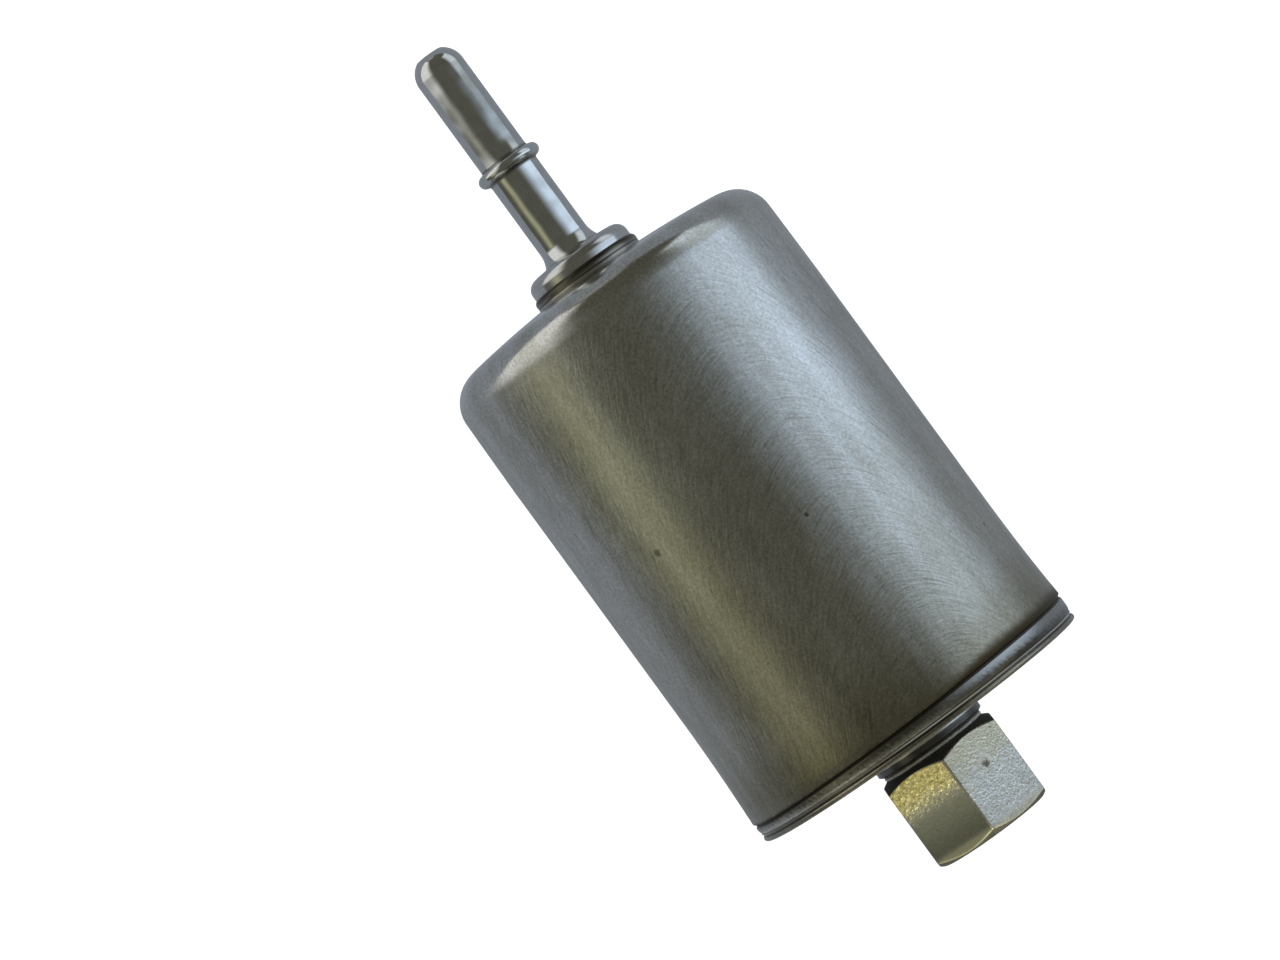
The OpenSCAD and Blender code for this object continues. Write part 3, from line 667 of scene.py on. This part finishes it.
def make_spring():
    """The element's coil spring (in the real filter it shortens as the element is pushed towards the inlet),
    built here at one length with its end turns closer together.
    """
    low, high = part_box("element_spring")
    wire, turns, steps, sides = 0.75, 4, 40, 14
    x0, height = low.x / MM + wire, (high.x - low.x) / MM - 2 * wire
    centre_r, shut, slow = 9.5, 0.22, 0.7
    middle = (1 - 2 * shut * slow) / (1 - 2 * shut)
    rings = turns * steps
    points, faces = [], []
    for i in range(rings + 1):
        t = i / rings
        if t < shut:
            rise = slow * t
        elif t > 1 - shut:
            rise = 1 - slow * (1 - t)
        else:
            rise = shut * slow + middle * (t - shut)
        a = 2 * math.pi * turns * t
        for j in range(sides):
            b = 2 * math.pi * j / sides
            r = centre_r + wire * math.cos(b)
            x = x0 + height * rise + wire * math.sin(b)
            points.append((x * MM, r * math.cos(a) * MM, r * math.sin(a) * MM))
    for i in range(rings):
        for j in range(sides):
            k = (j + 1) % sides
            faces.append((i * sides + j, (i + 1) * sides + j, (i + 1) * sides + k, i * sides + k))
    faces.append(tuple(range(sides)))
    faces.append(tuple(rings * sides + j for j in reversed(range(sides))))
    spring = mesh_object("coil_spring", points, faces, "housing", 50)
    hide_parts("element_spring")
    paint(spring, turned_steel("spring_wire", (0.42, 0.43, 0.45), (0.26, 0.26, 0.27), 0.25, 0.4))
    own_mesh(spring)


# ---------------------------------------------------------------- finishes of the CAD's own parts

def finish_cad_parts():
    # the pale ring near the boss's top edge is a painted highlight
    boss = turned_steel("boss_steel", (0.16, 0.155, 0.14), (0.09, 0.085, 0.075), 0.18, 0.3, 4.0,
                        [(-41.7, 0.25, (0.90, 0.90, 0.85), 1.0)])
    gold = braze("outlet_braze", (0.16, 0.12, 0.05), (0.45, 0.36, 0.17), 0.3, 0.5)
    pressed = pressed_steel("pressed_steel", (0.56, 0.56, 0.55), (0.42, 0.42, 0.41))
    tinned = pressed_steel("tinned_steel", (0.66, 0.66, 0.65), (0.50, 0.50, 0.49), 0.2, 0.34)
    cover = pressed_steel("cover_steel", (0.52, 0.515, 0.49), (0.36, 0.35, 0.32), 0.26, 0.4)
    glue, seal, paper = potting(), rubber(), filter_paper()
    finishes = {
        "outlet_braze": gold,
        "inlet_boss": boss, "end_cover": cover, "seam_seal": seal, "spring_seat": pressed,
        "bottom_end_cap": tinned, "top_end_cap": tinned, "bottom_potting": glue, "top_potting": glue,
        "filter_media": paper, "media_clip": pressed, "center_tube": pressed, "outlet_seal": seal,
    }
    for node, material in finishes.items():
        paint(NODES[node], material)


# ---------------------------------------------------------------- stage, light and camera

# What the metal reflects of the floor, and the tent's unlit cloth.
FLOOR_IN_METAL = (0.30, 0.33, 0.38)
TENT_CLOTH = (0.12, 0.12, 0.10)

# The tent's lit panels: from and to along the part in mm, from and to in degrees round from straight up
# (towards -Y), the width of their soft sides in degrees, and the light's colour.
TENT_PANELS = [
    (-60, 90, 40, 120, 25, (1.0, 1.2, 1.5)),
    (-60, 90, -65, -50, 15, (0.7, 0.7, 0.45)),
    (110, 400, 60, 120, 10, (0.8, 0.9, 1.0)),
    (110, 1200, -120, -40, 15, (1.0, 1.0, 1.0)),
    (-300, -120, 50, 70, 10, (0.7, 0.7, 0.6)),
    (-300, -180, -70, -50, 10, (0.8, 0.8, 0.7)),
]


def stage_mesh(name, points, faces, smooth=False):
    data = bpy.data.meshes.new(name)
    data.from_pydata(points, [], faces)
    data.polygons.foreach_set("use_smooth", [smooth] * len(data.polygons))
    obj = bpy.data.objects.new(name, data)
    bpy.context.scene.collection.objects.link(obj)
    return obj


def add_floor():
    """A plain pale table top. The camera sees it white, and metal reflects it as a dimmer grey."""
    z = cad_box[0].z
    floor = stage_mesh("floor", [(-4, -4, z), (4, -4, z), (4, 4, z), (-4, 4, z)], [(0, 1, 2, 3)])
    g = Graph("floor")
    direct = g.node("ShaderNodeLightPath").outputs["Is Camera Ray"]
    matt = g.node("ShaderNodeBsdfDiffuse", {"Color": (0.9, 0.9, 0.9)}).outputs[0]
    glow = g.node("ShaderNodeEmission", {"Color": (1, 1, 1), "Strength": 0.93}).outputs[0]
    seen = g.node("ShaderNodeAddShader", {0: matt, 1: glow}).outputs[0]
    dim = g.node("ShaderNodeEmission", {"Color": FLOOR_IN_METAL, "Strength": 1.0}).outputs[0]
    mixed = g.node("ShaderNodeMixShader", {0: direct, 1: dim, 2: seen}).outputs[0]
    g.node("ShaderNodeOutputMaterial", {"Surface": mixed})
    paint(floor, g.material)


def soft_panel(g, x, degrees, from_x, to_x, from_degrees, to_degrees, edge_degrees):
    """How much of a tent panel a point is in: 1 inside it, fading to 0 over its soft edges."""
    edge_x = 25
    along = g.mul(g.span(x, from_x - edge_x, from_x + edge_x), g.span(x, to_x + edge_x, to_x - edge_x))
    round_it = g.mul(g.span(degrees, from_degrees - edge_degrees, from_degrees + edge_degrees),
                     g.span(degrees, to_degrees + edge_degrees, to_degrees - edge_degrees))
    return g.mul(along, round_it)


def add_tent():
    """A light tent round the part: a half tube of dark cloth with soft lit panels."""
    radius, low, high, half_angle, steps = 0.30, -0.35, 1.5, 95, 76
    points, faces = [], []
    for i in range(steps + 1):
        a = math.radians(half_angle * (2 * i / steps - 1))
        points += [(end, -radius * math.sin(a), radius * math.cos(a)) for end in (low, high)]
    for i in range(steps):
        faces.append((2 * i, 2 * i + 1, 2 * i + 3, 2 * i + 2))
    tent = stage_mesh("light_tent", points, faces, True)
    tent.visible_camera = False
    tent.visible_shadow = False
    g = Graph("light_tent")
    x, angle, _, _ = g.place()
    degrees = g.mul(angle, 180 / math.pi)
    colour = TENT_CLOTH
    for *place_and_edge, panel_colour in TENT_PANELS:
        colour = g.mix(soft_panel(g, x, degrees, *place_and_edge), colour, panel_colour)
    light = g.node("ShaderNodeEmission", {"Color": colour, "Strength": 1.0}).outputs[0]
    g.node("ShaderNodeOutputMaterial", {"Surface": light})
    paint(tent, g.material)


def add_warm_lamp(only):
    """A small warm lamp low beyond the inlet end, which lights only the given pieces."""
    data = bpy.data.lights.new("warm_lamp", "AREA")
    data.shape = "DISK"
    data.size = 0.05
    data.energy = 0.56
    data.color = (1.0, 0.91, 0.52)
    lamp = bpy.data.objects.new("warm_lamp", data)
    bpy.context.scene.collection.objects.link(lamp)
    lamp.location = (-0.237, 0.07, 0.10)
    lamp.rotation_euler = (Vector((-0.05, 0.0, 0.01)) - lamp.location).to_track_quat("-Z", "Y").to_euler()
    lamp.visible_camera = False
    lit = bpy.data.collections.new("lit_by_warm_lamp")
    for piece in only:
        lit.objects.link(piece)
    lamp.light_linking.receiver_collection = lit


def add_world():
    world = bpy.data.worlds.new("studio")
    world.use_nodes = True
    bpy.context.scene.world = world
    tree = world.node_tree
    tree.nodes.clear()
    path = tree.nodes.new("ShaderNodeLightPath")
    room = tree.nodes.new("ShaderNodeBackground")
    room.inputs["Color"].default_value = (0.36, 0.37, 0.36, 1)
    page = tree.nodes.new("ShaderNodeBackground")
    page.inputs["Color"].default_value = (0.96, 0.96, 0.96, 1)
    mix = tree.nodes.new("ShaderNodeMixShader")
    out = tree.nodes.new("ShaderNodeOutputWorld")
    tree.links.new(path.outputs["Is Camera Ray"], mix.inputs[0])
    tree.links.new(room.outputs[0], mix.inputs[1])
    tree.links.new(page.outputs[0], mix.inputs[2])
    tree.links.new(mix.outputs[0], out.inputs["Surface"])


def add_camera():
    """Looks straight down on the part from 0.7 m, turned so that the spigot points up and to the left."""
    data = bpy.data.cameras.new("camera")
    data.sensor_width = 36
    data.lens = 134.6
    data.clip_start, data.clip_end = 0.05, 20
    camera = bpy.data.objects.new("camera", data)
    bpy.context.scene.collection.objects.link(camera)
    camera.location = (0.00267, -0.00012, 0.69995)
    camera.rotation_euler = [math.radians(v) for v in (0.126, 1.282, -126.137)]
    bpy.context.scene.camera = camera


make_can()
make_spigot()
make_collar()
bead = make_inlet_braze()
nut = make_nut()
make_spring()
finish_cad_parts()
add_floor()
add_tent()
add_warm_lamp([nut, bead])
add_world()
add_camera()
bpy.context.scene.view_settings.view_transform = "Standard"
